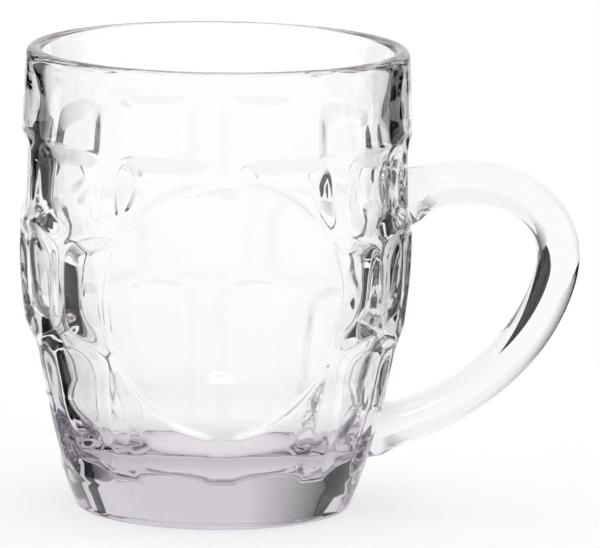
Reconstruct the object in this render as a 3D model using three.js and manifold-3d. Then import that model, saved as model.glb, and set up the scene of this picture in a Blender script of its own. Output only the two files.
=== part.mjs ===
// A dimpled beer mug: a pressed glass bowl and a glass handle that is stuck to it hot.
// Millimetres, +Z up. The origin is the centre of the underside. The handle points along +X
// and the plain round panel faces -Y. An angle round the bowl starts at the panel's middle
// and grows towards the handle.

import * as THREE from 'three';
import { mergeVertices } from 'three/addons/utils/BufferGeometryUtils.js';
import Module from 'manifold-3d';

// Heights of the bands of the wall, from the table upwards
const BASE_BAND_HEIGHT = 10.3;
const LOWER_ROW_HEIGHT = 38;
const MIDDLE_ROW_HEIGHT = 27.4;
const UPPER_ROW_HEIGHT = 22.8;
const RIM_BAND_HEIGHT = 21.5;

// The barrel that the dimples are pressed into
const FOOT_RADIUS = 35.5;
const FOOT_EDGE_RADIUS = 1.5;
const BELLY_RADIUS = 50.8;
const BELLY_HEIGHT = 68;
const BELLY_POWER = 1.8;
const RIM_RADIUS = 49.5;

// The inside, which a smooth plunger presses
const WALL_THICKNESS = 5.4;
const LOWER_WALL_THICKNESS = 8;
const LIP_THICKNESS = 4.2;
const LIP_TAPER_HEIGHT = 20;
const FLOOR_THICKNESS = 12;
const FLOOR_CORNER_RADIUS = 22;

// The dimples
const COLUMN_COUNT = 10;
const DIMPLE_DEPTH = 1.8;
const DIMPLE_LEAN = 0.3;
const DIMPLE_CORNER_SIZE = 5;
const FLANK_WIDTH = 4.2;
const FLANK_FOOT_ROUNDING = 1;
const RIDGE_ROUNDING = 0.8;
const ROW_SETBACK = 0.5;
const ROW_ZIGZAG = 1.6;
const LAND_HALF_WIDTH = 3;
const TIP_HALF_WIDTH = 1;

// The plain round panel
const PANEL_RADIUS = 32.3;
const PANEL_CENTRE_HEIGHT = 58.9;
const PANEL_SLOPE_WIDTH = 2.4;

// The handle: its middle line lies in the XZ plane
const HANDLE_ROOT_INSET = 4.8;
const HANDLE_REACH = 89.2;
const HANDLE_REACH_HEIGHT = 65.2;
const HANDLE_UPPER_ROOT_HEIGHT = 79;
const HANDLE_UPPER_ARM_LENGTH = 13.8;
const HANDLE_UPPER_ARM_RISE = 10.7;
const HANDLE_UPPER_BEND_HEIGHT = 21;
const HANDLE_LOWER_BEND_HEIGHT = 9.6;
const HANDLE_LOWER_ARM_LENGTH = 39.2;
const HANDLE_LOWER_ARM_RISE = 5.5;
const HANDLE_LOWER_ROOT_HEIGHT = 19.3;
const HANDLE_THICKNESS = 10.9;
const HANDLE_WIDTH = 14;
const HANDLE_ROOT_SWELL = 1.6;
const HANDLE_FLARE_LENGTH = 9;
const HANDLE_SECTION_POWER = 2.5;
const HANDLE_CLEARANCE = 0.3;

// How finely the surfaces are divided
const STEPS_PER_COLUMN = 10;
const ROW_STEP = 3;
const ARC_STEPS = 4;
const HANDLE_STATIONS = 34;
const HANDLE_SIDES = 20;

const LOWER_ROW_TOP = BASE_BAND_HEIGHT + LOWER_ROW_HEIGHT;
const MIDDLE_ROW_TOP = LOWER_ROW_TOP + MIDDLE_ROW_HEIGHT;
const UPPER_ROW_TOP = MIDDLE_ROW_TOP + UPPER_ROW_HEIGHT;
const MUG_HEIGHT = UPPER_ROW_TOP + RIM_BAND_HEIGHT;
const COLUMN_ANGLE = (2 * Math.PI) / COLUMN_COUNT;
const LAND_GROWTH = LAND_HALF_WIDTH - TIP_HALF_WIDTH;
const LIP_RADIUS = LIP_THICKNESS / 2;
const LIP_HEIGHT = MUG_HEIGHT - LIP_RADIUS;
const CORNER_TOP = FLOOR_THICKNESS + FLOOR_CORNER_RADIUS;

const wasm = await Module();
wasm.setup();

const clamp = THREE.MathUtils.clamp;

// The radius of the barrel before the dimples, at a height
function barrelRadius(height) {
  if (height > BELLY_HEIGHT) {
    const share = (height - BELLY_HEIGHT) / (MUG_HEIGHT - BELLY_HEIGHT);
    return BELLY_RADIUS - (BELLY_RADIUS - RIM_RADIUS) * share ** 2;
  }
  const share = (BELLY_HEIGHT - height) / BELLY_HEIGHT;
  return BELLY_RADIUS - (BELLY_RADIUS - FOOT_RADIUS) * share ** BELLY_POWER;
}

// The smaller of two distances, with the corner between them rounded
function roundedMinimum(a, b) {
  const blend = Math.max(DIMPLE_CORNER_SIZE - Math.abs(a - b), 0) / DIMPLE_CORNER_SIZE;
  return Math.min(a, b) - (blend ** 2 * DIMPLE_CORNER_SIZE) / 4;
}

// The dimple at a height and a place, which is counted in columns from the panel's middle. It says
// how far inside the dimple's outline that is, negative on the plain bands, which share of the way
// up the row it is, and how far below the row's top.
function dimpleAt(place, height) {
  const swing = ROW_ZIGZAG * Math.cos(2 * Math.PI * place);
  const upperEdge = MIDDLE_ROW_TOP + swing;
  const lowerEdge = LOWER_ROW_TOP - swing;
  const inMiddleRow = height < upperEdge && height > lowerEdge;
  const ridge = inMiddleRow ? Math.floor(place + 0.5) - 0.5 : Math.floor(place);
  const arc = COLUMN_ANGLE * Math.min(place - ridge, ridge + 1 - place);
  let land = TIP_HALF_WIDTH;
  let floor = lowerEdge;
  let ceiling = upperEdge;
  if (height >= upperEdge) {
    floor = upperEdge;
    ceiling = UPPER_ROW_TOP;
    land += LAND_GROWTH * clamp((height - floor) / (ceiling - floor), 0, 1);
  } else if (height <= lowerEdge) {
    floor = BASE_BAND_HEIGHT;
    ceiling = lowerEdge;
    land += LAND_GROWTH * clamp((ceiling - height) / (ceiling - floor), 0, 1);
  }
  const side = arc * barrelRadius(height) - land;
  const inside = roundedMinimum(side, roundedMinimum(height - floor, ceiling - height));
  const up = clamp((height - floor) / (ceiling - floor), 0, 1);
  return { inMiddleRow, inside, up, belowTop: ceiling - height };
}

// The share of a full step at a distance inside its edge, rounded at the edge and at the flank's foot
function flank(inside) {
  const eased = Math.hypot(Math.max(inside, 0), RIDGE_ROUNDING) - RIDGE_ROUNDING;
  const rounded = Math.hypot(eased - FLANK_WIDTH, FLANK_FOOT_ROUNDING);
  return clamp((eased + FLANK_WIDTH - rounded) / (2 * FLANK_WIDTH), 0, 1);
}

// None on the round panel, all outside it, with a smooth step between
function panelFlank(place, height) {
  const across = place * COLUMN_ANGLE * barrelRadius(PANEL_CENTRE_HEIGHT);
  const outside = Math.hypot(across, height - PANEL_CENTRE_HEIGHT) - PANEL_RADIUS;
  return THREE.MathUtils.smoothstep(outside, 0, PANEL_SLOPE_WIDTH);
}

// How deep the wall is pressed in at a place in columns and a height. A dimple is deepest at its top,
// and the ridges of the upper and lower rows stand back a little there too.
function pressedDepth(place, height) {
  const { inMiddleRow, inside, up, belowTop } = dimpleAt(place, height);
  const dimple = DIMPLE_DEPTH * (1 - DIMPLE_LEAN * (1 - up)) * flank(inside);
  const setback = inMiddleRow ? 0 : ROW_SETBACK * up * flank(belowTop);
  return (dimple + setback) * panelFlank(place, height);
}

// Heights from one level to another in even steps, without the first level
function levels(from, to) {
  const count = Math.max(Math.round((to - from) / ROW_STEP), 1);
  return Array.from({ length: count }, (_, i) => from + ((to - from) * (i + 1)) / count);
}

// Points of a quarter turn about a centre, from a start angle
function quarter(centreX, centreY, radius, start) {
  return Array.from({ length: ARC_STEPS + 1 }, (_, i) => {
    const angle = start + (i / ARC_STEPS) * (Math.PI / 2);
    return new THREE.Vector2(centreX + radius * Math.cos(angle), centreY + radius * Math.sin(angle));
  });
}

// The outside of the bowl from the middle of the underside up to the start of the lip's round
function outerProfile() {
  const edges = [
    FOOT_EDGE_RADIUS,
    BASE_BAND_HEIGHT,
    LOWER_ROW_TOP,
    MIDDLE_ROW_TOP,
    UPPER_ROW_TOP,
    LIP_HEIGHT,
  ];
  const wall = edges.slice(1).flatMap((top, i) => levels(edges[i], top));
  const footEdge = barrelRadius(FOOT_EDGE_RADIUS);
  return [
    new THREE.Vector2(0, 0),
    ...quarter(footEdge - FOOT_EDGE_RADIUS, FOOT_EDGE_RADIUS, FOOT_EDGE_RADIUS, -Math.PI / 2),
    ...wall.map((height) => new THREE.Vector2(barrelRadius(height), height)),
  ];
}

// The radius of the smooth inside, at a height: the wall gets thin at the lip and thick towards the base
function insideRadius(height) {
  const lipShare = THREE.MathUtils.smoothstep(height, LIP_HEIGHT - LIP_TAPER_HEIGHT, LIP_HEIGHT);
  const lowShare = Math.max(BELLY_HEIGHT - height, 0) / (BELLY_HEIGHT - CORNER_TOP);
  const thinner = (WALL_THICKNESS - LIP_THICKNESS) * lipShare;
  const thicker = (LOWER_WALL_THICKNESS - WALL_THICKNESS) * lowShare;
  return barrelRadius(height) - WALL_THICKNESS + thinner - thicker;
}

// The lip's round, the inside wall and the floor, down to the middle of the floor
function innerProfile() {
  const lipCentre = barrelRadius(LIP_HEIGHT) - LIP_RADIUS;
  const wallTop = LIP_HEIGHT - LIP_TAPER_HEIGHT;
  const wallStops = [
    LIP_HEIGHT,
    (LIP_HEIGHT + wallTop) / 2,
    wallTop,
    BELLY_HEIGHT,
    (BELLY_HEIGHT + CORNER_TOP) / 2,
    CORNER_TOP,
  ];
  const cornerCentre = insideRadius(CORNER_TOP) - FLOOR_CORNER_RADIUS;
  const corner = quarter(cornerCentre, CORNER_TOP, FLOOR_CORNER_RADIUS, -Math.PI / 2);
  return [
    ...quarter(lipCentre, LIP_HEIGHT, LIP_RADIUS, 0).slice(1),
    ...quarter(lipCentre, LIP_HEIGHT, LIP_RADIUS, Math.PI / 2).slice(1, -1),
    ...wallStops.map((height) => new THREE.Vector2(insideRadius(height), height)),
    ...corner.reverse().slice(1),
    new THREE.Vector2(0, FLOOR_THICKNESS),
  ];
}

// Merges shared points and drops the faces that have no area, so that the surface is closed
function welded(geometry) {
  geometry.deleteAttribute('normal');
  geometry.deleteAttribute('uv');
  const merged = mergeVertices(geometry);
  const index = merged.getIndex().array;
  const kept = [];
  for (let i = 0; i < index.length; i += 3) {
    const [a, b, c] = index.slice(i, i + 3);
    if (a !== b && b !== c && c !== a) kept.push(a, b, c);
  }
  merged.setIndex(kept);
  merged.computeVertexNormals();
  return merged;
}

// Turns a profile about the Z axis, with its first outerCount points pressed in by the dimples
function turnedAndDimpled(profile, outerCount, growth) {
  const geometry = new THREE.LatheGeometry(profile, COLUMN_COUNT * STEPS_PER_COLUMN);
  const position = geometry.getAttribute('position');
  for (let i = 0; i < position.count; i += 1) {
    const step = Math.floor(i / profile.length);
    const place = step / STEPS_PER_COLUMN - COLUMN_COUNT / 2;
    const point = profile[i % profile.length];
    const pressed = i % profile.length < outerCount && point.x > 0;
    const radius = pressed ? point.x - pressedDepth(place, point.y) + growth : point.x;
    const angle = place * COLUMN_ANGLE;
    position.setXYZ(i, radius * Math.sin(angle), -radius * Math.cos(angle), point.y);
  }
  return welded(geometry);
}

function bowlGeometry() {
  const outer = outerProfile();
  return turnedAndDimpled([...outer, ...innerProfile()], outer.length, 0);
}

// The outside of the bowl as a solid block, grown by the clearance that the handle keeps to it
function grownBowlGeometry() {
  const outer = outerProfile();
  const profile = [...outer, new THREE.Vector2(0, outer.at(-1).y)];
  return turnedAndDimpled(profile, outer.length, HANDLE_CLEARANCE);
}

// The handle's middle line: out from the upper root, round the bend and in to the lower root
function handlePath() {
  const rootReach = (height) => barrelRadius(height) - HANDLE_ROOT_INSET;
  const bend = new THREE.Vector3(HANDLE_REACH, 0, HANDLE_REACH_HEIGHT);
  const upperRoot = new THREE.Vector3(rootReach(HANDLE_UPPER_ROOT_HEIGHT), 0, HANDLE_UPPER_ROOT_HEIGHT);
  const lowerRoot = new THREE.Vector3(rootReach(HANDLE_LOWER_ROOT_HEIGHT), 0, HANDLE_LOWER_ROOT_HEIGHT);
  const path = new THREE.CurvePath();
  path.add(new THREE.CubicBezierCurve3(
    upperRoot,
    upperRoot.clone().add(new THREE.Vector3(HANDLE_UPPER_ARM_LENGTH, 0, HANDLE_UPPER_ARM_RISE)),
    bend.clone().add(new THREE.Vector3(0, 0, HANDLE_UPPER_BEND_HEIGHT)),
    bend,
  ));
  path.add(new THREE.CubicBezierCurve3(
    bend,
    bend.clone().sub(new THREE.Vector3(0, 0, HANDLE_LOWER_BEND_HEIGHT)),
    lowerRoot.clone().add(new THREE.Vector3(HANDLE_LOWER_ARM_LENGTH, 0, HANDLE_LOWER_ARM_RISE)),
    lowerRoot,
  ));
  return path;
}

// One point of the handle's rounded section, as shares of its half width and half thickness
function sectionPoint(side) {
  const angle = (2 * Math.PI * side) / HANDLE_SIDES;
  const soften = (value) => Math.sign(value) * Math.abs(value) ** (2 / HANDLE_SECTION_POWER);
  return [soften(Math.cos(angle)), soften(Math.sin(angle))];
}

// The handle's bar, which swells at both ends to make the roots
function handleBarGeometry() {
  const path = handlePath();
  const length = path.getLength();
  const points = [];
  const index = [];
  for (let station = 0; station <= HANDLE_STATIONS; station += 1) {
    const share = station / HANDLE_STATIONS;
    const centre = path.getPointAt(share);
    const along = path.getTangentAt(share);
    const outward = new THREE.Vector3(-along.z, 0, along.x);
    const fromEnd = Math.min(share, 1 - share) * length - HANDLE_ROOT_INSET;
    const near = 1 - clamp(fromEnd / HANDLE_FLARE_LENGTH, 0, 1);
    const swell = HANDLE_ROOT_SWELL * near ** 2;
    for (let side = 0; side < HANDLE_SIDES; side += 1) {
      const [wide, thick] = sectionPoint(side);
      const point = centre.clone().addScaledVector(outward, thick * (HANDLE_THICKNESS / 2 + swell));
      points.push(point.x, wide * (HANDLE_WIDTH / 2 + swell), point.z);
    }
  }
  for (let station = 0; station < HANDLE_STATIONS; station += 1) {
    for (let side = 0; side < HANDLE_SIDES; side += 1) {
      const a = station * HANDLE_SIDES + side;
      const b = station * HANDLE_SIDES + ((side + 1) % HANDLE_SIDES);
      index.push(a, b, a + HANDLE_SIDES, b, b + HANDLE_SIDES, a + HANDLE_SIDES);
    }
  }
  const last = HANDLE_STATIONS * HANDLE_SIDES;
  for (let side = 1; side < HANDLE_SIDES - 1; side += 1) {
    index.push(0, side + 1, side, last, last + side, last + side + 1);
  }
  const geometry = new THREE.BufferGeometry();
  geometry.setAttribute('position', new THREE.Float32BufferAttribute(points, 3));
  geometry.setIndex(index);
  return geometry;
}

function solidOf(geometry) {
  const vertProperties = new Float32Array(geometry.getAttribute('position').array);
  const triVerts = new Uint32Array(geometry.getIndex().array);
  return new wasm.Manifold(new wasm.Mesh({ numProp: 3, vertProperties, triVerts }));
}

function geometryOf(solid) {
  const mesh = solid.getMesh();
  const geometry = new THREE.BufferGeometry();
  geometry.setAttribute('position', new THREE.Float32BufferAttribute(mesh.vertProperties, 3));
  geometry.setIndex(Array.from(mesh.triVerts));
  geometry.computeVertexNormals();
  return geometry;
}

// The bar, cut at both ends to the shape of the bowl's wall
function handleGeometry() {
  return geometryOf(solidOf(handleBarGeometry()).subtract(solidOf(grownBowlGeometry())));
}

function clearGlass() {
  return new THREE.MeshStandardMaterial({
    color: 0xf2f1f5,
    roughness: 0.04,
    metalness: 0,
    transparent: true,
    opacity: 0.35,
  });
}

const bowl = new THREE.Mesh(bowlGeometry(), clearGlass());
bowl.name = 'bowl';

const handle = new THREE.Mesh(handleGeometry(), clearGlass());
handle.name = 'handle';

const mug = new THREE.Group();
mug.add(bowl, handle);

export default mug;
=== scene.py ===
# %% [markdown]
# # A dimpled glass beer mug
# This lesson models a clear beer mug of pressed glass: a round bowl with three rows of dimples and a
# plain round panel on its front, and a loop handle that is stuck to the bowl while both are hot.
# Clear glass shows its surroundings more than itself, so half of the work is the shape, which bends
# the light, and the other half is what stands round it in the studio.
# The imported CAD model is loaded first. It fixes where everything is, in metres, with +Z up, the
# handle along +X and the panel facing -Y.

import math

import bpy
from mathutils import Matrix, Vector


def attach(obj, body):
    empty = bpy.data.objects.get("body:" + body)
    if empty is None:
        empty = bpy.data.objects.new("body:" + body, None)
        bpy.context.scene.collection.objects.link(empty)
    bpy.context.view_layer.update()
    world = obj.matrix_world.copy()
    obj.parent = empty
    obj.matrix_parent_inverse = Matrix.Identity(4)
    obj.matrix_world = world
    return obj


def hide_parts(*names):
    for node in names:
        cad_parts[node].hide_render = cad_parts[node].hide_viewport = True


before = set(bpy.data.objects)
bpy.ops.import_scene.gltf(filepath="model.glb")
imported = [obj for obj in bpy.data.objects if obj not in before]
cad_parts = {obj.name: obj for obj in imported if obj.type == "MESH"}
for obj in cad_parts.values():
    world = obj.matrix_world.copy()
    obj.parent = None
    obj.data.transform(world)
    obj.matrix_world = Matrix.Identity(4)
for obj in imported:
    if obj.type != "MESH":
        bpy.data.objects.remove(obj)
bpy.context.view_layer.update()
MM = 0.001

# %% [markdown]
# ## The camera
# The picture is taken from a little above the rim's edge, through a long lens, so the mug's rim and
# foot show as flat ellipses with almost no perspective. The camera looks past the mug to the right,
# because the handle needs room there, and it leans by a degree.

# %% Set up the camera
CAMERA_AZIMUTH = math.radians(-3)
CAMERA_ELEVATION = math.radians(9.683)
CAMERA_DISTANCE = 2.0
CAMERA_LENS = 463.2
CAMERA_ROLL = math.radians(0.851)
CAMERA_SIGHT = 100
MUG_MIDDLE = Vector((0, 0, 60 * MM))
LOOK_RIGHT = 21.9 * MM
LOOK_UP = 0.4 * MM


def place_camera():
    """Stands the camera off from the mug's middle and turns it to the spot beside it."""
    away = Vector((
        math.sin(CAMERA_AZIMUTH) * math.cos(CAMERA_ELEVATION),
        -math.cos(CAMERA_AZIMUTH) * math.cos(CAMERA_ELEVATION),
        math.sin(CAMERA_ELEVATION),
    ))
    eye = MUG_MIDDLE + away * CAMERA_DISTANCE
    lean = Matrix.Rotation(CAMERA_ROLL, 3, "Z")
    turn = (-away).to_track_quat("-Z", "Y").to_matrix() @ lean
    spot = MUG_MIDDLE + turn @ Vector((LOOK_RIGHT, LOOK_UP, 0))
    aim = (spot - eye).to_track_quat("-Z", "Y").to_matrix() @ lean
    bpy.ops.object.camera_add(location=eye, rotation=aim.to_euler())
    camera = bpy.context.object
    camera.data.lens = CAMERA_LENS
    camera.data.clip_end = CAMERA_SIGHT
    return camera


bpy.context.scene.camera = place_camera()
print("camera at", [round(value, 3) for value in bpy.context.scene.camera.location])

# %% [markdown]
# ## The barrel
# A mould presses the outside of the bowl and a smooth plunger presses the inside. Before the dimples
# the outside is a plain barrel: it swells from the foot to the belly and draws in a little towards
# the rim. A formula gives its radius at every height, so that the profile, the dimples and the
# handle's roots all follow one shape.

# %% The barrel's sizes and its radius
BASE_BAND_HEIGHT = 10.3 * MM
LOWER_ROW_HEIGHT = 38 * MM
MIDDLE_ROW_HEIGHT = 27.4 * MM
UPPER_ROW_HEIGHT = 22.8 * MM
RIM_BAND_HEIGHT = 21.5 * MM
LOWER_ROW_TOP = BASE_BAND_HEIGHT + LOWER_ROW_HEIGHT
MIDDLE_ROW_TOP = LOWER_ROW_TOP + MIDDLE_ROW_HEIGHT
UPPER_ROW_TOP = MIDDLE_ROW_TOP + UPPER_ROW_HEIGHT
MUG_HEIGHT = UPPER_ROW_TOP + RIM_BAND_HEIGHT

FOOT_RADIUS = 35.5 * MM
FOOT_EDGE_RADIUS = 1.5 * MM
BELLY_RADIUS = 50.8 * MM
BELLY_HEIGHT = 68 * MM
BELLY_POWER = 1.8
RIM_RADIUS = 49.5 * MM


def barrel_radius(height):
    """The radius of the barrel before the dimples."""
    if height > BELLY_HEIGHT:
        share = (height - BELLY_HEIGHT) / (MUG_HEIGHT - BELLY_HEIGHT)
        return BELLY_RADIUS - (BELLY_RADIUS - RIM_RADIUS) * share ** 2
    share = (BELLY_HEIGHT - height) / BELLY_HEIGHT
    return BELLY_RADIUS - (BELLY_RADIUS - FOOT_RADIUS) * share ** BELLY_POWER


print("height of the mug in mm:", round(MUG_HEIGHT / MM, 1))

# %% [markdown]
# ## The profile
# The bowl is a turned shape, so half of its section is enough: under the foot, up the outside, over
# the rounded lip, down the inside and along the floor to the middle. Each point of it is a radius
# and a height. The outside has many points, because the dimples need them, and the smooth inside
# has fewer.

# %% Points of the profile
WALL_THICKNESS = 5.4 * MM
LOWER_WALL_THICKNESS = 8 * MM
LIP_THICKNESS = 4.2 * MM
LIP_TAPER_HEIGHT = 20 * MM
FLOOR_THICKNESS = 12 * MM
FLOOR_CORNER_RADIUS = 22 * MM
OUTSIDE_STEP = 0.75 * MM
INSIDE_STEP = 3 * MM
LIP_STEP = 2 * MM
LIP_STEPS = 6
CORNER_STEPS = 14


def clamp(value):
    """Keeps a share between none and all."""
    return min(max(value, 0), 1)


def ease(share):
    """A share that starts and ends gently."""
    return share ** 2 * (3 - 2 * share)


def levels(start, end, step):
    """Even heights from one level to another, without the first."""
    count = max(round(abs(end - start) / step), 1)
    return [start + (end - start) * (i + 1) / count for i in range(count)]


def quarter(centre, radius, start, steps):
    """Points of a quarter turn about a centre, from a start angle."""
    turns = [start + math.pi / 2 * i / steps for i in range(steps + 1)]
    return [(centre[0] + radius * math.cos(t), centre[1] + radius * math.sin(t)) for t in turns]


LIP_RADIUS = LIP_THICKNESS / 2
LIP_HEIGHT = MUG_HEIGHT - LIP_RADIUS
CORNER_TOP = FLOOR_THICKNESS + FLOOR_CORNER_RADIUS
LIP_CENTRE = (barrel_radius(LIP_HEIGHT) - LIP_RADIUS, LIP_HEIGHT)


def inside_radius(height):
    """The radius of the smooth inside: the wall gets thin at the lip and thick towards the base."""
    lip_share = clamp((height - LIP_HEIGHT) / LIP_TAPER_HEIGHT + 1)
    low_share = max(BELLY_HEIGHT - height, 0) / (BELLY_HEIGHT - CORNER_TOP)
    thinner = (WALL_THICKNESS - LIP_THICKNESS) * ease(lip_share)
    thicker = (LOWER_WALL_THICKNESS - WALL_THICKNESS) * low_share
    return barrel_radius(height) - WALL_THICKNESS + thinner - thicker


def outside_profile():
    """From the middle of the underside, up the outside, to the top of the lip."""
    foot = (barrel_radius(FOOT_EDGE_RADIUS) - FOOT_EDGE_RADIUS, FOOT_EDGE_RADIUS)
    rows = [BASE_BAND_HEIGHT, LOWER_ROW_TOP, MIDDLE_ROW_TOP, UPPER_ROW_TOP]
    edges = [FOOT_EDGE_RADIUS] + rows + [LIP_HEIGHT]
    points = [(0, 0)] + quarter(foot, FOOT_EDGE_RADIUS, -math.pi / 2, LIP_STEPS)
    for low, high in zip(edges, edges[1:]):
        points += [(barrel_radius(height), height) for height in levels(low, high, OUTSIDE_STEP)]
    return points + quarter(LIP_CENTRE, LIP_RADIUS, 0, LIP_STEPS)[1:]


def inside_profile():
    """From the top of the lip, down the inside, to the middle of the floor."""
    lip_foot = LIP_HEIGHT - LIP_TAPER_HEIGHT
    heights = levels(LIP_HEIGHT, lip_foot, LIP_STEP) + levels(lip_foot, CORNER_TOP, INSIDE_STEP)
    corner = (inside_radius(CORNER_TOP) - FLOOR_CORNER_RADIUS, CORNER_TOP)
    points = quarter(LIP_CENTRE, LIP_RADIUS, math.pi / 2, LIP_STEPS)[1:]
    points += [(inside_radius(height), height) for height in heights]
    points += quarter(corner, FLOOR_CORNER_RADIUS, -math.pi / 2, CORNER_STEPS)[-2::-1]
    return points + [(0, FLOOR_THICKNESS)]


print("points in the profile:", len(outside_profile()) + len(inside_profile()))

# %% [markdown]
# ## Spin the bowl
# The profile is drawn by extruding one vertex from point to point, and the Spin tool turns it round
# the Z axis. The Screw modifier could do the same. The dimples will stand in ten equal columns, and
# every column gets the same even number of steps, so that a line of vertices runs along each ridge.

# %% Extrude and spin
COLUMN_COUNT = 10
COLUMN_ANGLE = 2 * math.pi / COLUMN_COUNT
STEPS_PER_COLUMN = 38
WELD_DISTANCE = 0.01 * MM


def start_vertex(name, place):
    """Makes a mesh of one vertex, left in edit mode, by merging a small plane."""
    bpy.ops.object.select_all(action="DESELECT")
    bpy.ops.mesh.primitive_plane_add(size=MM)
    bpy.context.object.name = name
    bpy.ops.object.mode_set(mode="EDIT")
    bpy.ops.mesh.select_all(action="SELECT")
    bpy.ops.mesh.merge(type="CENTER")
    bpy.ops.transform.translate(value=place)
    return bpy.context.object


def draw_line(name, points):
    """Extrudes a vertex from point to point and leaves the whole line selected in edit mode."""
    piece = start_vertex(name, points[0])
    for here, there in zip(points, points[1:]):
        bpy.ops.mesh.extrude_region_move(TRANSFORM_OT_translate={"value": there - here})
    bpy.ops.mesh.select_all(action="SELECT")
    return piece


def draw_profile(name, profile):
    """Draws a half section of radius and height behind the axis."""
    return draw_line(name, [Vector((0, radius, height)) for radius, height in profile])


def spin_round(steps):
    """Spins the selected profile round, welds the seam and the poles and leaves edit mode."""
    bpy.ops.mesh.spin(steps=steps, angle=2 * math.pi, center=(0, 0, 0), axis=(0, 0, 1))
    bpy.ops.mesh.select_all(action="SELECT")
    bpy.ops.mesh.remove_doubles(threshold=WELD_DISTANCE)
    bpy.ops.mesh.normals_make_consistent(inside=False)
    bpy.ops.object.mode_set(mode="OBJECT")


bowl = draw_profile("bowl_glass", outside_profile() + inside_profile())
spin_round(COLUMN_COUNT * STEPS_PER_COLUMN)
print("bowl:", len(bowl.data.vertices), "vertices,", len(bowl.data.polygons), "faces")

# %% [markdown]
# ## The dimples
# Each dimple is a shallow tray in the outside, with a flat bottom, sloping flanks and rounded ridges
# between it and its neighbours. It is deepest at its top edge, and in the upper and lower rows the
# ridges stand back a little there too, so that a straight edge runs round under the rim band. The
# upper and lower rows stand one above the other and the middle row is shifted by half a column, so
# the edges between the rows zigzag. Ridges of the upper row widen towards the rim and those of the
# lower row towards the foot. The round panel on the front is left smooth.
# Hollows could be cut with rounded solids, but then every ridge would be sharp. Here a function says
# how deep the mould presses at each place, the depths are painted as vertex weights, and one
# Displace modifier presses the wall in by them.

# %% How deep the mould presses
DIMPLE_DEPTH = 1.8 * MM
DIMPLE_LEAN = 0.3
ROW_SETBACK = 0.5 * MM
FULL_DEPTH = DIMPLE_DEPTH + ROW_SETBACK
FLANK_WIDTH = 4.2 * MM
FLANK_FOOT_ROUNDING = 1 * MM
RIDGE_ROUNDING = 0.8 * MM
DIMPLE_CORNER_SIZE = 5 * MM
ROW_ZIGZAG = 1.6 * MM
LAND_HALF_WIDTH = 3 * MM
TIP_HALF_WIDTH = 1 * MM
PANEL_RADIUS = 32.3 * MM
PANEL_CENTRE_HEIGHT = 58.9 * MM
PANEL_SLOPE_WIDTH = 2.4 * MM
LAND_GROWTH = LAND_HALF_WIDTH - TIP_HALF_WIDTH


def rounded_minimum(a, b):
    """The smaller of two distances, with the corner between them rounded."""
    blend = max(DIMPLE_CORNER_SIZE - abs(a - b), 0) / DIMPLE_CORNER_SIZE
    return min(a, b) - blend ** 2 * DIMPLE_CORNER_SIZE / 4


def row_at(place, height):
    """The row at a place counted in columns, its floor and ceiling, and half its ridges' width there."""
    swing = ROW_ZIGZAG * math.cos(2 * math.pi * place)
    upper_edge = MIDDLE_ROW_TOP + swing
    lower_edge = LOWER_ROW_TOP - swing
    if height >= upper_edge:
        up = clamp((height - upper_edge) / (UPPER_ROW_TOP - upper_edge))
        return "upper", upper_edge, UPPER_ROW_TOP, TIP_HALF_WIDTH + LAND_GROWTH * up
    if height <= lower_edge:
        down = clamp((lower_edge - height) / (lower_edge - BASE_BAND_HEIGHT))
        return "lower", BASE_BAND_HEIGHT, lower_edge, TIP_HALF_WIDTH + LAND_GROWTH * down
    return "middle", lower_edge, upper_edge, TIP_HALF_WIDTH


def flank(inside):
    """The share of a full step at a distance inside its edge, rounded at the edge and at the foot."""
    eased = math.hypot(max(inside, 0), RIDGE_ROUNDING) - RIDGE_ROUNDING
    rounded = math.hypot(eased - FLANK_WIDTH, FLANK_FOOT_ROUNDING)
    return clamp((eased + FLANK_WIDTH - rounded) / (2 * FLANK_WIDTH))


def panel_flank(angle, height):
    """None on the round panel, all outside it, with a smooth step between."""
    across = angle * barrel_radius(PANEL_CENTRE_HEIGHT)
    outside = math.hypot(across, height - PANEL_CENTRE_HEIGHT) - PANEL_RADIUS
    return ease(clamp(outside / PANEL_SLOPE_WIDTH))


def pressed_depth(angle, height):
    """How deep the wall is pressed in at an angle round the bowl and a height."""
    place = angle / COLUMN_ANGLE
    row, floor, ceiling, land = row_at(place, height)
    ridge = math.floor(place + 0.5) - 0.5 if row == "middle" else math.floor(place)
    side = min(place - ridge, ridge + 1 - place) * COLUMN_ANGLE * barrel_radius(height) - land
    inside = rounded_minimum(side, rounded_minimum(height - floor, ceiling - height))
    up = clamp((height - floor) / (ceiling - floor))
    dimple = DIMPLE_DEPTH * (1 - DIMPLE_LEAN * (1 - up)) * flank(inside)
    setback = 0 if row == "middle" else ROW_SETBACK * up * flank(ceiling - height)
    return (dimple + setback) * panel_flank(angle, height)


MEASURED_PLACE = 2.5
MEASURED_HEIGHT = (BASE_BAND_HEIGHT + LOWER_ROW_TOP) / 2
measured = pressed_depth(MEASURED_PLACE * COLUMN_ANGLE, MEASURED_HEIGHT)
print("depth in the middle of a lower dimple in mm:", round(measured / MM, 2))

# %% Paint the depths and press the wall
OUTSIDE_TOLERANCE = 0.05 * MM


def apply_modifier(piece, modifier):
    """Applies one modifier as by hand."""
    bpy.context.view_layer.objects.active = piece
    bpy.ops.object.modifier_apply(modifier=modifier.name)


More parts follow.
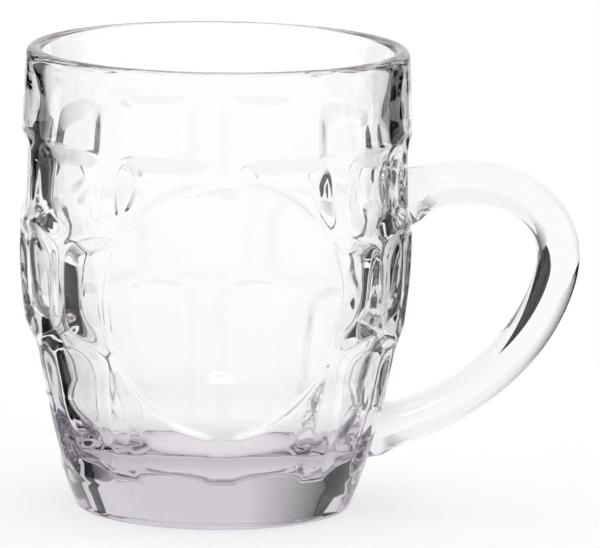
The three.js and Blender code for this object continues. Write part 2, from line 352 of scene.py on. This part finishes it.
def press_dimples(piece):
    """Weights the outside wall by the mould's depth and displaces it inwards."""
    depths = piece.vertex_groups.new(name="dimples")
    pressed = 0
    for vertex in piece.data.vertices:
        radius = math.hypot(vertex.co.x, vertex.co.y)
        on_wall = BASE_BAND_HEIGHT < vertex.co.z < UPPER_ROW_TOP
        if on_wall and abs(radius - barrel_radius(vertex.co.z)) < OUTSIDE_TOLERANCE:
            depth = pressed_depth(math.atan2(vertex.co.x, -vertex.co.y), vertex.co.z)
            if depth > 0:
                depths.add([vertex.index], depth / FULL_DEPTH, "REPLACE")
                pressed += 1
    press = piece.modifiers.new("press", "DISPLACE")
    press.vertex_group = depths.name
    press.strength = -FULL_DEPTH
    press.mid_level = 0
    apply_modifier(piece, press)
    piece.vertex_groups.clear()
    return pressed


print("vertices pressed in:", press_dimples(bowl))

# %% [markdown]
# ## The handle
# The handle is a bar of glass with a rounded section, wider than it is thick, bent into a loop. It
# could be swept along a curve as a bevel, but a bevel has the same section all along, and this bar
# swells where it joins the bowl. So a straight bar is extruded ring by ring, each ring scaled to its
# own size, and a Curve modifier bends it along the loop.

# %% Draw the loop
ROOT_INSET = 4.8 * MM
HANDLE_REACH = 89.09 * MM
HANDLE_REACH_HEIGHT = 65.2 * MM
HANDLE_UPPER_ROOT_HEIGHT = 79 * MM
HANDLE_UPPER_ARM_LENGTH = 13.8 * MM
HANDLE_UPPER_ARM_RISE = 10.7 * MM
HANDLE_UPPER_BEND_HEIGHT = 21 * MM
HANDLE_LOWER_BEND_HEIGHT = 9.6 * MM
HANDLE_LOWER_ARM_LENGTH = 39.2 * MM
HANDLE_LOWER_ARM_RISE = 5.5 * MM
HANDLE_LOWER_ROOT_HEIGHT = 19.3 * MM
LOOP_RESOLUTION = 64


def root_point(height):
    """Where the loop's line ends, within the wall."""
    return Vector((barrel_radius(height) - ROOT_INSET, 0, height))


def draw_loop():
    """A curve of three points, from the upper root round the bend to the lower root."""
    bend = Vector((HANDLE_REACH, 0, HANDLE_REACH_HEIGHT))
    upper, lower = root_point(HANDLE_UPPER_ROOT_HEIGHT), root_point(HANDLE_LOWER_ROOT_HEIGHT)
    upper_arm = Vector((HANDLE_UPPER_ARM_LENGTH, 0, HANDLE_UPPER_ARM_RISE))
    lower_arm = Vector((HANDLE_LOWER_ARM_LENGTH, 0, HANDLE_LOWER_ARM_RISE))
    above = Vector((0, 0, HANDLE_UPPER_BEND_HEIGHT))
    below = Vector((0, 0, -HANDLE_LOWER_BEND_HEIGHT))
    bpy.ops.object.select_all(action="DESELECT")
    bpy.ops.curve.primitive_bezier_curve_add()
    loop = bpy.context.object
    loop.data.twist_mode = "MINIMUM"
    loop.data.resolution_u = LOOP_RESOLUTION
    spline = loop.data.splines[0]
    spline.bezier_points.add(1)
    places = [(upper, -upper_arm, upper_arm), (bend, above, below), (lower, lower_arm, -lower_arm)]
    for point, (place, before, after) in zip(spline.bezier_points, places):
        point.handle_left_type = point.handle_right_type = "FREE"
        point.co, point.handle_left, point.handle_right = place, place + before, place + after
    return loop


loop = draw_loop()
LOOP_LENGTH = loop.data.splines[0].calc_length()
print("length of the loop in mm:", round(LOOP_LENGTH / MM, 1))

# %% Extrude the bar and bend it
HANDLE_THICKNESS = 10.9 * MM
HANDLE_WIDTH = 14 * MM
HANDLE_SECTION_POWER = 2.5
ROOT_SWELL = 1.6 * MM
ROOT_SWELL_LENGTH = 9 * MM
ROOT_DEPTH = 6 * MM
ROOT_COVER = 1 * MM
PLUG_STEPS = 96
HANDLE_SIDES = 64
HANDLE_RINGS = 130


def root_swell(along):
    """How much the bar has grown all round at a place along it."""
    from_wall = min(along, LOOP_LENGTH - along) - ROOT_INSET
    return ROOT_SWELL * (1 - clamp(from_wall / ROOT_SWELL_LENGTH)) ** 2


def section_half(along):
    """Half the thickness and half the width of the bar at a place along it."""
    return HANDLE_THICKNESS / 2 + root_swell(along), HANDLE_WIDTH / 2 + root_swell(along)


def soften(value):
    """Squares up a round section."""
    return math.copysign(abs(value) ** (2 / HANDLE_SECTION_POWER), value)


def extrude_bar():
    """A straight bar along X with the handle's section, swollen at both ends."""
    start, end = -ROOT_DEPTH, LOOP_LENGTH + ROOT_DEPTH
    bpy.ops.object.select_all(action="DESELECT")
    bpy.ops.mesh.primitive_circle_add(
        vertices=HANDLE_SIDES, radius=1, fill_type="NGON", rotation=(0, math.pi / 2, 0))
    bar = bpy.context.object
    bar.name = "handle_glass"
    bpy.ops.object.transform_apply(location=True, rotation=True, scale=True)
    thick, wide = section_half(start)
    for vertex in bar.data.vertices:
        vertex.co = (start, soften(vertex.co.y) * wide, soften(vertex.co.z) * thick)
    bpy.ops.object.mode_set(mode="EDIT")
    bpy.ops.mesh.select_all(action="SELECT")
    along = start
    for there in levels(start, end, (end - start) / HANDLE_RINGS):
        bpy.ops.mesh.extrude_region_move(TRANSFORM_OT_translate={"value": (there - along, 0, 0)})
        before, after = section_half(along), section_half(there)
        growth = (1, after[1] / before[1], after[0] / before[0])
        bpy.ops.transform.resize(value=growth, center_override=(there, 0, 0))
        along = there
    bpy.ops.mesh.select_all(action="SELECT")
    bpy.ops.mesh.normals_make_consistent(inside=False)
    bpy.ops.object.mode_set(mode="OBJECT")
    return bar


def bend_bar(bar):
    """Bends the bar along the loop and puts the loop away."""
    bend = bar.modifiers.new("bend", "CURVE")
    bend.object = loop
    bend.deform_axis = "POS_X"
    apply_modifier(bar, bend)
    bpy.data.objects.remove(loop)
    return bar


def cut_roots(bar):
    """Cuts the bar's ends off within the wall, with a plug that fills the bowl and a little more."""
    profile = [(radius + ROOT_COVER, height) for radius, height in inside_profile()]
    plug = draw_profile("plug", [(0, MUG_HEIGHT)] + profile + [(0, FLOOR_THICKNESS)])
    spin_round(PLUG_STEPS)
    cut = bar.modifiers.new("cut", "BOOLEAN")
    cut.operation = "DIFFERENCE"
    cut.solver = "EXACT"
    cut.object = plug
    apply_modifier(bar, cut)
    bpy.data.objects.remove(plug)
    return bar


handle = cut_roots(bend_bar(extrude_bar()))
corners = [[f(v.co[i] for v in handle.data.vertices) / MM for i in range(3)] for f in (min, max)]
print("handle's box in mm:", [[round(value, 1) for value in corner] for corner in corners])

# %% [markdown]
# ## Fuse the handle to the bowl
# Where the hot handle is stuck on, the glass flows together and no surface is left between the two.
# If two glass meshes overlapped here, light would bend twice at every joint, so a Boolean modifier
# makes one skin of them.

# %% Join with a union
SMOOTH_ANGLE = math.radians(40)

fuse = bowl.modifiers.new("fuse", "BOOLEAN")
fuse.operation = "UNION"
fuse.solver = "EXACT"
fuse.object = handle
apply_modifier(bowl, fuse)
bpy.data.objects.remove(handle)
bpy.ops.object.select_all(action="DESELECT")
bowl.select_set(True)
bpy.ops.object.shade_smooth_by_angle(angle=SMOOTH_ANGLE)
triangles = sum(len(face.vertices) - 2 for face in bowl.data.polygons)
print("mug:", len(bowl.data.vertices), "vertices,", triangles, "triangles")

# %% [markdown]
# ## Clear glass
# Pressed glass is clear, but never quite even: the mould and the plunger leave faint upright waves in
# its skin. Thick glass also has a tint, here a greyish lilac, which shows where light runs a long way
# through it, as in the base.
# The Principled shader makes glass with full transmission. A volume absorption gives the tint, so
# that it deepens with the thickness by itself, and a weak bump of stretched noise gives the waves.

# %% The glass material
GLASS_IOR = 1.52
TINT = (0.1, 0, 0.12, 1)
TINT_DENSITY = 7
WAVE_SCALE = (140, 140, 18)
WAVE_HEIGHT = 0.03 * MM


def clear_glass():
    """Clear glass with a tint in its depth and faint waves in its skin."""
    glass = bpy.data.materials.new("clear_glass")
    glass.use_nodes = True
    nodes, links = glass.node_tree.nodes, glass.node_tree.links
    shader = nodes["Principled BSDF"]
    shader.inputs["Base Color"].default_value = (1, 1, 1, 1)
    shader.inputs["Roughness"].default_value = 0
    shader.inputs["IOR"].default_value = GLASS_IOR
    shader.inputs["Transmission Weight"].default_value = 1
    tint = nodes.new("ShaderNodeVolumeAbsorption")
    tint.inputs["Color"].default_value = TINT
    tint.inputs["Density"].default_value = TINT_DENSITY
    links.new(tint.outputs["Volume"], nodes["Material Output"].inputs["Volume"])
    place = nodes.new("ShaderNodeTexCoord")
    stretch = nodes.new("ShaderNodeMapping")
    stretch.inputs["Scale"].default_value = WAVE_SCALE
    waves = nodes.new("ShaderNodeTexNoise")
    waves.inputs["Scale"].default_value = 1
    waves.inputs["Detail"].default_value = 1
    bump = nodes.new("ShaderNodeBump")
    bump.inputs["Distance"].default_value = WAVE_HEIGHT
    links.new(place.outputs["Object"], stretch.inputs["Vector"])
    links.new(stretch.outputs["Vector"], waves.inputs["Vector"])
    links.new(waves.outputs["Fac"], bump.inputs["Height"])
    links.new(bump.outputs["Normal"], shader.inputs["Normal"])
    return glass


bowl.data.materials.clear()
bowl.data.materials.append(clear_glass())
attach(bowl, "root")
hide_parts("bowl", "handle")
print("materials on the mug:", [m.name for m in bowl.data.materials])

# %% [markdown]
# ## The studio
# Clear glass on a white ground would vanish if everything round it were white. Straight through the
# glass the camera sees the white ground, and it should. Near the edges and in the flanks of the
# dimples the glass bends the view to the side, and there a photographer lays dark mats and stands
# dark flags: they draw the dark lines.
# The ground is a wide white floor under an even white sky, and the mug throws a soft shadow on it.
# A lamp or two would do as well, but each would leave a hard spot in the glass. Seen through the
# glass the floor has painted light: a painted shadow makes it a little darker close to the mug, where
# the mug shades it, and a painted glow makes it a little brighter further off.

# %% The floor and the sky
FLOOR_SIZE = 40
FLOOR_GAP = 0.1 * MM
FLOOR_WHITE = 0.93
# Painted light on the floor seen through the glass: a painted glow further off and a painted shadow near
# the mug.
FLOOR_PAINTED_GLOW_IN_GLASS = 0.06
FLOOR_PAINTED_SHADOW_IN_GLASS = -0.03
PAINTED_SHADOW_REACH = 45 * MM
PAINTED_GLOW_REACH = 230 * MM
SKY_WHITE = (1, 1, 1, 1)
SKY_IN_GLASS = (1, 0.98, 1.01, 1)


def white_floor():
    """A wide white floor with the mug's shadow; seen through glass it has a painted shadow near the mug
    and a painted glow further off.
    """
    bpy.ops.object.select_all(action="DESELECT")
    bpy.ops.mesh.primitive_plane_add(size=FLOOR_SIZE, location=(0, 0, -FLOOR_GAP))
    floor = bpy.context.object
    floor.name = "floor"
    paper = bpy.data.materials.new("white_paper")
    paper.use_nodes = True
    nodes, links = paper.node_tree.nodes, paper.node_tree.links
    shader = nodes["Principled BSDF"]
    shader.inputs["Base Color"].default_value = (FLOOR_WHITE, FLOOR_WHITE, FLOOR_WHITE, 1)
    shader.inputs["Roughness"].default_value = 1
    shader.inputs["Specular IOR Level"].default_value = 0
    path = nodes.new("ShaderNodeLightPath")
    glow = nodes.new("ShaderNodeMath")
    glow.operation = "MULTIPLY_ADD"
    glow.inputs[2].default_value = 1 - FLOOR_WHITE
    place = nodes.new("ShaderNodeTexCoord")
    reach = nodes.new("ShaderNodeVectorMath")
    reach.operation = "LENGTH"
    # Painted light: seen through glass, the floor's glow runs from a painted shadow near the mug to a
    # painted glow further off.
    painted_light_spread = nodes.new("ShaderNodeMapRange")
    painted_light_spread.inputs["From Min"].default_value = PAINTED_SHADOW_REACH
    painted_light_spread.inputs["From Max"].default_value = PAINTED_GLOW_REACH
    painted_light_spread.inputs["To Min"].default_value = FLOOR_PAINTED_SHADOW_IN_GLASS
    painted_light_spread.inputs["To Max"].default_value = FLOOR_PAINTED_GLOW_IN_GLASS
    links.new(place.outputs["Object"], reach.inputs[0])
    links.new(reach.outputs["Value"], painted_light_spread.inputs["Value"])
    links.new(painted_light_spread.outputs["Result"], glow.inputs[1])
    shader.inputs["Emission Color"].default_value = (1, 1, 1, 1)
    links.new(path.outputs["Is Transmission Ray"], glow.inputs[0])
    links.new(glow.outputs["Value"], shader.inputs["Emission Strength"])
    floor.data.materials.append(paper)


def soft_sky():
    """An even white dome, with a trace of lilac where it is seen through the glass."""
    sky = bpy.data.worlds.new("soft_sky")
    sky.use_nodes = True
    nodes, links = sky.node_tree.nodes, sky.node_tree.links
    path = nodes.new("ShaderNodeLightPath")
    through = nodes.new("ShaderNodeMix")
    through.data_type = "RGBA"
    through.inputs["A"].default_value = SKY_WHITE
    through.inputs["B"].default_value = SKY_IN_GLASS
    links.new(path.outputs["Is Transmission Ray"], through.inputs["Factor"])
    links.new(through.outputs["Result"], nodes["Background"].inputs["Color"])
    bpy.context.scene.world = sky


white_floor()
soft_sky()
print("floor in m:", FLOOR_SIZE, "with a white share of", FLOOR_WHITE)

# %% [markdown]
# ## Dark mats
# Most of the bent views end on the floor. Two mats lie close beside the mug, where its outer edges
# look, and two larger ones lie behind it on both sides of a white lane, where the dimples and the
# handle look. Each is drawn by its corners and filled with one face. A plane could be scaled for it,
# but the edges of the mats have to slant, because each slanting edge sets where a dark line ends.
# The mats are seen only through the glass and in it.

# %% Dark mats on the floor
CARD_COLOUR = (0.004, 0.0035, 0.0045, 1)
MAT_LIFT = 0.5 * MM
DARK_MATS = {
    "left_near_mat": [(-56, -20), (-56, 20), (-140, 105), (-280, 105), (-280, -20)],
    "right_near_mat": [(115, -20), (130, 60), (280, 60), (280, -20)],
    "left_far_mat": [(-190, 200), (-235, 560), (-350, 1315), (-1010, 1315), (-480, 200)],
    "right_far_mat": [(105, 100), (165, 290), (330, 600), (750, 1315), (1365, 1315), (605, 100)],
}


def dark_paint(name):
    """Matt black."""
    paint = bpy.data.materials.new(name)
    paint.use_nodes = True
    shader = paint.node_tree.nodes["Principled BSDF"]
    shader.inputs["Base Color"].default_value = CARD_COLOUR
    shader.inputs["Specular IOR Level"].default_value = 0
    shader.inputs["Roughness"].default_value = 1
    return paint


def keep_in_glass(card):
    """Hides a card from the camera and from the light, so that only the glass shows it."""
    card.visible_camera = False
    card.visible_diffuse = False
    card.visible_shadow = False


def dark_mat(name, corners):
    """A mat on the floor, cut to a shape by its corners in millimetres."""
    mat = draw_line(name, [Vector((x * MM, y * MM, MAT_LIFT)) for x, y in corners])
    bpy.ops.mesh.edge_face_add()
    bpy.ops.object.mode_set(mode="OBJECT")
    mat.data.materials.append(dark_paint(name))
    keep_in_glass(mat)


for mat_name, mat_corners in DARK_MATS.items():
    dark_mat(mat_name, mat_corners)
print("mats on the floor:", ", ".join(DARK_MATS))

# %% [markdown]
# ## Flags
# Views that are bent upwards miss the floor, so upright cards stand a metre behind the mug. Three of
# them are black. Two are graded from dark grey to white, towards the white lane, and the thick base
# shows them as a soft change of tone. A row of cards in steps of grey would show as stripes there.

# %% Dark and graded flags behind the mug
FLAG_REACH = 1
LOW_FLAG, TALL_FLAG = 0.4, 0.8
DARK_FLAGS = {
    "left_flag": (-56, -33, LOW_FLAG),
    "right_flag": (43, 51, TALL_FLAG),
    "handle_flag": (58, 80, TALL_FLAG),
}
GRADED_DARK = (0.12, 0.115, 0.125, 1)
GRADED_LIGHT = (0.95, 0.95, 0.95, 1)
GRADED_FLAGS = {
    "left_graded_flag": ((-33, -7, LOW_FLAG), (GRADED_DARK, GRADED_LIGHT)),
    "right_graded_flag": ((20, 43, LOW_FLAG / 2), (GRADED_LIGHT, GRADED_DARK)),
}
HALF_CARD = 0.5


def heading(degrees, reach, height):
    """A place at a reach from the mug, at a turn to the right of straight behind it."""
    turn = math.radians(degrees)
    return Vector((reach * math.sin(turn), reach * math.cos(turn), height))


def graded_paint(name, left_tone, right_tone):
    """A matt paint that goes from one tone at the card's left end to another at its right end."""
    paint = dark_paint(name)
    nodes, links = paint.node_tree.nodes, paint.node_tree.links
    place = nodes.new("ShaderNodeTexCoord")
    apart = nodes.new("ShaderNodeSeparateXYZ")
    along = nodes.new("ShaderNodeMath")
    along.inputs[1].default_value = HALF_CARD
    tones = nodes.new("ShaderNodeMix")
    tones.data_type = "RGBA"
    tones.inputs["A"].default_value = left_tone
    tones.inputs["B"].default_value = right_tone
    links.new(place.outputs["Object"], apart.inputs["Vector"])
    links.new(apart.outputs["X"], along.inputs[0])
    links.new(along.outputs["Value"], tones.inputs["Factor"])
    links.new(tones.outputs["Result"], nodes["Principled BSDF"].inputs["Base Color"])
    return paint


def stand_flag(name, left, right, height, paint):
    """An upright card on the floor that faces the mug from behind."""
    middle = (left + right) / 2
    place = heading(middle, FLAG_REACH, height / 2)
    bpy.ops.object.select_all(action="DESELECT")
    bpy.ops.mesh.primitive_plane_add(
        size=1, location=place, rotation=(math.pi / 2, 0, -math.radians(middle)))
    flag = bpy.context.object
    flag.name = name
    flag.scale = (2 * FLAG_REACH * math.tan(math.radians(right - left) / 2), height, 1)
    flag.data.materials.append(paint)
    keep_in_glass(flag)


for flag_name, flag_sizes in DARK_FLAGS.items():
    stand_flag(flag_name, *flag_sizes, dark_paint(flag_name))
for flag_name, (flag_sizes, flag_tones) in GRADED_FLAGS.items():
    stand_flag(flag_name, *flag_sizes, graded_paint(flag_name, *flag_tones))
print("flags behind the mug:", ", ".join([*DARK_FLAGS, *GRADED_FLAGS]))

# %% [markdown]
# ## A soft box
# A small bright spot low on the panel tells that the glass is polished. It is the mirror image of a
# soft box over the camera's shoulder: a plane that glows. An area lamp would light the floor too, and
# this plane is kept out of the light, so it adds its image and nothing else.

# %% A soft box above the camera
BOX_HEADING = 192
BOX_REACH = 1.1
BOX_HEIGHT = 1.0
BOX_SIZE = (0.5, 0.35)
BOX_STRENGTH = 5


def soft_box():
    """A bright panel over the camera's shoulder, which the glass mirrors as highlights."""
    place = heading(BOX_HEADING, BOX_REACH, BOX_HEIGHT)
    aim = (MUG_MIDDLE - place).to_track_quat("-Z", "Y").to_euler()
    bpy.ops.object.select_all(action="DESELECT")
    bpy.ops.mesh.primitive_plane_add(size=1, location=place, rotation=aim)
    box = bpy.context.object
    box.name = "soft_box"
    box.scale = (BOX_SIZE[0], BOX_SIZE[1], 1)
    light = bpy.data.materials.new("soft_box")
    light.use_nodes = True
    shader = light.node_tree.nodes["Principled BSDF"]
    shader.inputs["Emission Color"].default_value = (1, 1, 1, 1)
    shader.inputs["Emission Strength"].default_value = BOX_STRENGTH
    box.data.materials.append(light)
    keep_in_glass(box)


soft_box()
print("soft box in m:", BOX_SIZE, "at a height of", BOX_HEIGHT)

# %% [markdown]
# ## Finish
# Light crosses many glass surfaces before it reaches the floor or a card, so the paths have to be
# long.

# %% Set long light paths and finish
GLASS_BOUNCES = 32
MIRROR_BOUNCES = 16

scene = bpy.context.scene
scene.view_settings.view_transform = "Standard"
scene.cycles.max_bounces = GLASS_BOUNCES
scene.cycles.transmission_bounces = GLASS_BOUNCES
scene.cycles.glossy_bounces = MIRROR_BOUNCES
scene.cycles.blur_glossy = 0
scene.cycles.use_denoising = True
